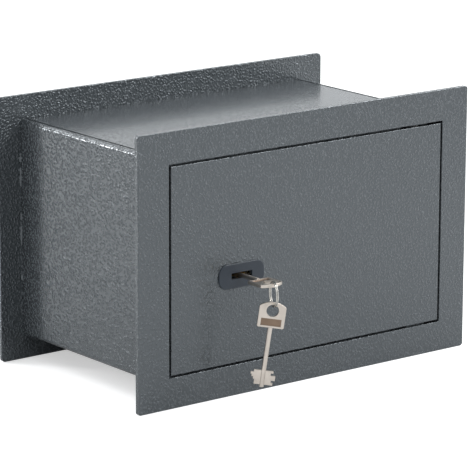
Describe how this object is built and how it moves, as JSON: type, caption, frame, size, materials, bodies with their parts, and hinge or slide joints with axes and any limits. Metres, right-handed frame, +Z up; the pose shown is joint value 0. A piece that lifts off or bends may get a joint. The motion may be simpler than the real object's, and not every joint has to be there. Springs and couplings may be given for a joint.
{
  "type": "wall safe",
  "caption": "Steel wall safe with a wide front frame, a rear anchor plate, a flush hinged door with concealed hinges, and a double-bit key lock that throws round bolts.",
  "frame": {"origin": "centre of the back plate's rear face, which goes against the masonry", "axes": "+X to the right when facing the door, +Y into the wall, +Z up"},
  "size_m": [0.35, 0.253, 0.23],
  "materials": {
    "hammered_paint": "hammered powder paint, dark grey",
    "keyhole_plastic": "moulded plastic, dark blue-grey, satin",
    "bright_steel": "turned and ground steel",
    "zinc_plate": "zinc-plated sheet",
    "lock_brass": "stamped brass",
    "key_nickel": "cast and nickel-plated, satin",
    "ring_steel": "nickel-plated spring wire"
  },
  "bodies": {
    "body": {"front_frame": "hammered_paint", "body_wrapper": "hammered_paint", "top_panel": "hammered_paint", "top_seam_welds": "hammered_paint", "back_plate": "hammered_paint", "rear_stitch_welds": "hammered_paint", "door_stop_top": "hammered_paint", "door_stop_bottom": "hammered_paint", "hinge_block_upper": "hammered_paint", "hinge_block_lower": "hammered_paint"},
    "door": {"door_plate": "hammered_paint", "escutcheon": "keyhole_plastic", "hinge_pin_upper": "bright_steel", "hinge_pin_lower": "bright_steel", "pin_holder_upper": "hammered_paint", "pin_holder_lower": "hammered_paint", "anti_pry_strip": "hammered_paint", "hard_plate": "bright_steel", "lock_case": "zinc_plate", "lock_cover": "zinc_plate", "lock_studs": "bright_steel", "cover_pillars": "bright_steel", "cover_screws": "bright_steel", "rotor_bush": "lock_brass", "lever_posts": "bright_steel", "lever_springs": "bright_steel", "bolt_guide": "zinc_plate"},
    "boltwork": {"bolt_carriage": "zinc_plate", "bolt_upper": "bright_steel", "bolt_lower": "bright_steel", "bolt_nuts": "bright_steel", "bolt_stump": "bright_steel"},
    "levers": {"lever_1": "lock_brass", "lever_2": "lock_brass", "lever_3": "lock_brass", "lever_4": "lock_brass", "lever_5": "lock_brass"},
    "key_rotor": {"key_rotor": "lock_brass"},
    "key": {"key": "key_nickel"},
    "key_ring": {"key_ring": "ring_steel"},
    "spare_key": {"spare_key": "key_nickel"}
  },
  "joints": [
    {"name": "door_hinge", "type": "hinge", "parent": "body", "child": "door", "pos_m": [0.123, -0.1915, 0], "axis": [0, 0, 1], "range_deg": [0, 120]},
    {"name": "key_turn", "type": "hinge", "parent": "door", "child": "key_rotor", "pos_m": [-0.0708, -0.185, -0.0137], "axis": [0, 1, 0], "range_deg": [0, 360]},
    {"name": "bolt_throw", "type": "slide", "parent": "door", "child": "boltwork", "axis": [-1, 0, 0], "range_m": [0, 0.0085]},
    {"name": "lever_lift", "type": "slide", "parent": "door", "child": "levers", "axis": [0, 0, 1], "range_m": [0, 0.003], "stiffness_N_per_m": 150, "springref_m": -0.008, "deforming": ["lever_springs"]},
    {"name": "key_withdraw", "type": "slide", "parent": "key_rotor", "child": "key", "axis": [0, -1, 0], "range_m": [0, 0.04]},
    {"name": "ring_swing", "type": "hinge", "parent": "key", "child": "key_ring", "pos_m": [-0.0708, -0.24275, -0.0137], "axis": [0.9272, -0.3746, 0], "range_deg": [-15, 3]},
    {"name": "spare_key_swing", "type": "hinge", "parent": "key_ring", "child": "spare_key", "pos_m": [-0.0708, -0.24275, -0.0285], "axis": [0.3746, 0.9272, 0], "range_deg": [-30, 10]}
  ],
  "couplings": [
    {"joint": "key_turn", "follows": "bolt_throw", "rad_per_m": 739.19}
  ]
}
